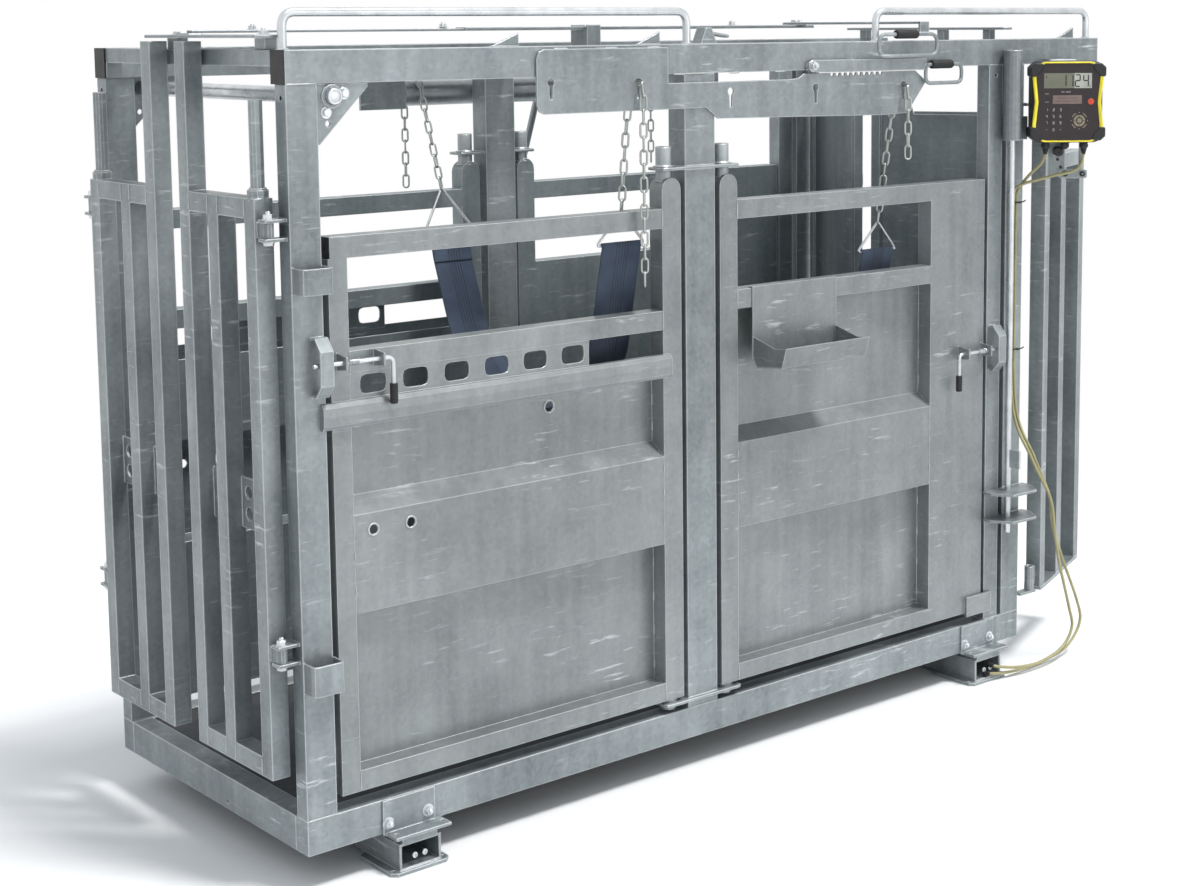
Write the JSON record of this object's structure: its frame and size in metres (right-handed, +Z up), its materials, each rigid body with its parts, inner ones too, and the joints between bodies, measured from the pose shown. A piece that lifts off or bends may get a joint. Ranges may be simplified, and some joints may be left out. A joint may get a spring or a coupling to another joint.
{
  "type": "cattle crush",
  "caption": "Galvanised cattle crush with a yoke head gate, side doors, belly straps on a winding shaft, rear leaves, a barred rear gate and a weigh indicator on load bars.",
  "frame": {"origin": "centre of the footprint of the crush without its free cables, on the floor", "axes": "+X from the head gate to the rear gate, +Y from the near (indicator) side to the far side, +Z up"},
  "size_m": [3.3307, 1.4424, 2.2019],
  "materials": {
    "galvanised": "hot-dip galvanised, matte grey with faint spangle",
    "bright_zinc": "bright zinc plated",
    "dark_floor": "dark worn floor plate",
    "black_plastic": "moulded black plastic",
    "yellow_plastic": "glossy yellow plastic",
    "panel": "dark keypad membrane",
    "red_rubber": "red rubber button",
    "webbing": "woven navy webbing",
    "cable": "olive cable sheath"
  },
  "bodies": {
    "crush_frame": {"near_sill": "galvanised", "far_sill": "galvanised", "front_sill": "galvanised", "rear_sill": "galvanised", "floor_plate": "dark_floor", "near_front_post": "galvanised", "far_front_post": "galvanised", "near_middle_post": "galvanised", "far_middle_post": "galvanised", "near_door_post": "galvanised", "far_door_post": "galvanised", "near_rear_post": "galvanised", "far_rear_post": "galvanised", "near_top_rail": "galvanised", "far_top_rail": "galvanised", "near_rail_cap": "black_plastic", "far_rail_cap": "black_plastic", "front_cross_beam": "galvanised", "middle_cross_beam": "galvanised", "rear_cross_beam": "galvanised", "head_shaft": "galvanised", "keyhole_plate": "galvanised", "front_guard_rail": "bright_zinc", "rear_guard_rail": "bright_zinc", "gate_cross_plate": "galvanised", "front_belly_strap": "webbing", "rear_belly_strap": "webbing", "near_front_chain": "bright_zinc", "far_front_chain": "bright_zinc", "near_rear_chain": "bright_zinc", "far_rear_chain": "bright_zinc", "front_load_bar": "galvanised", "rear_load_bar": "galvanised", "indicator_case": "black_plastic", "indicator_bezel": "yellow_plastic", "indicator_face": "panel", "indicator_bracket": "galvanised", "near_cell_cable": "cable", "far_cell_cable": "cable"},
    "near_front_door_leaf": {"near_front_door": "galvanised"},
    "far_front_door_leaf": {"far_front_door": "galvanised"},
    "near_rear_door_leaf": {"near_rear_door": "galvanised", "feed_tray": "galvanised"},
    "far_rear_door_leaf": {"far_rear_door": "galvanised"},
    "near_front_bolt": {"near_front_latch": "bright_zinc"},
    "far_front_bolt": {"far_front_latch": "bright_zinc"},
    "near_rear_bolt": {"near_rear_latch": "bright_zinc"},
    "far_rear_bolt": {"far_rear_latch": "bright_zinc"},
    "near_head_leaf": {"near_head_gate": "galvanised"},
    "far_head_leaf": {"far_head_gate": "galvanised"},
    "gate_control": {"push_bar": "galvanised", "head_lever": "galvanised"},
    "near_leaf": {"near_rear_leaf": "galvanised"},
    "far_leaf": {"far_rear_leaf": "galvanised"},
    "outer_gate": {"outer_rear_gate": "galvanised"},
    "door_lock": {"lock_rod": "bright_zinc"},
    "strap_winder": {"winding_shaft": "galvanised"},
    "pawl": {"pawl_lever": "galvanised"},
    "button": {"power_button": "red_rubber"}
  },
  "joints": [
    {"name": "near_front_door_hinge", "type": "hinge", "parent": "crush_frame", "child": "near_front_door_leaf", "pos_m": [-0.4043, -0.441, 1], "axis": [0, 0, 1], "range_deg": [0, 75], "deforming": ["near_front_chain"]},
    {"name": "far_front_door_hinge", "type": "hinge", "parent": "crush_frame", "child": "far_front_door_leaf", "pos_m": [-0.4043, 0.529, 1], "axis": [0, 0, 1], "range_deg": [-75, 0]},
    {"name": "near_rear_door_hinge", "type": "hinge", "parent": "crush_frame", "child": "near_rear_door_leaf", "pos_m": [-0.1893, -0.441, 1], "axis": [0, 0, 1], "range_deg": [-75, 0]},
    {"name": "far_rear_door_hinge", "type": "hinge", "parent": "crush_frame", "child": "far_rear_door_leaf", "pos_m": [-0.1893, 0.529, 1], "axis": [0, 0, 1], "range_deg": [0, 75]},
    {"name": "near_front_bolt_slide", "type": "slide", "parent": "near_front_door_leaf", "child": "near_front_bolt", "axis": [1, 0, 0], "range_m": [0, 0.055], "stiffness_N_per_m": 300, "springref_m": -0.02},
    {"name": "far_front_bolt_slide", "type": "slide", "parent": "far_front_door_leaf", "child": "far_front_bolt", "axis": [1, 0, 0], "range_m": [0, 0.055], "stiffness_N_per_m": 300, "springref_m": -0.02},
    {"name": "near_rear_bolt_slide", "type": "slide", "parent": "near_rear_door_leaf", "child": "near_rear_bolt", "axis": [-1, 0, 0], "range_m": [0, 0.055], "stiffness_N_per_m": 300, "springref_m": -0.02},
    {"name": "far_rear_bolt_slide", "type": "slide", "parent": "far_rear_door_leaf", "child": "far_rear_bolt", "axis": [-1, 0, 0], "range_m": [0, 0.055], "stiffness_N_per_m": 300, "springref_m": -0.02},
    {"name": "near_head_gate_hinge", "type": "hinge", "parent": "crush_frame", "child": "near_head_leaf", "pos_m": [-1.6443, -0.441, 1], "axis": [0, 0, 1], "range_deg": [0, 85]},
    {"name": "far_head_gate_hinge", "type": "hinge", "parent": "crush_frame", "child": "far_head_leaf", "pos_m": [-1.6443, 0.529, 1], "axis": [0, 0, 1], "range_deg": [-85, 0]},
    {"name": "push_bar_slide", "type": "slide", "parent": "crush_frame", "child": "gate_control", "axis": [1, 0, 0], "range_m": [0, 0.1]},
    {"name": "near_rear_leaf_hinge", "type": "hinge", "parent": "crush_frame", "child": "near_leaf", "pos_m": [1.0937, -0.393, 1], "axis": [0, 0, 1], "range_deg": [0, 55]},
    {"name": "far_rear_leaf_hinge", "type": "hinge", "parent": "crush_frame", "child": "far_leaf", "pos_m": [1.0937, 0.481, 1], "axis": [0, 0, 1], "range_deg": [-55, 0]},
    {"name": "outer_gate_hinge", "type": "hinge", "parent": "crush_frame", "child": "outer_gate", "pos_m": [1.1757, -0.471, 1], "axis": [0, 0, 1], "range_deg": [0, 60]},
    {"name": "lock_rod_slide", "type": "slide", "parent": "crush_frame", "child": "door_lock", "axis": [0, 0, 1], "range_m": [0, 0.06]},
    {"name": "winding_shaft_spin", "type": "hinge", "parent": "crush_frame", "child": "strap_winder", "pos_m": [-0.0543, 0.604, 1.945], "axis": [1, 0, 0], "range_deg": [0, 150]},
    {"name": "pawl_lever_pivot", "type": "hinge", "parent": "crush_frame", "child": "pawl", "pos_m": [0.1357, -0.4816, 2.03], "axis": [0, -1, 0], "range_deg": [0, 10]},
    {"name": "power_button_press", "type": "slide", "parent": "crush_frame", "child": "button", "axis": [0.6494, 0.7604, 0], "range_m": [0, 0.0012], "stiffness_N_per_m": 600, "springref_m": -0.001}
  ],
  "couplings": [
    {"joint": "far_head_gate_hinge", "follows": "near_head_gate_hinge", "ratio": -1},
    {"joint": "push_bar_slide", "follows": "near_head_gate_hinge", "m_per_rad": 0.0674},
    {"joint": "far_rear_leaf_hinge", "follows": "near_rear_leaf_hinge", "ratio": -1}
  ]
}
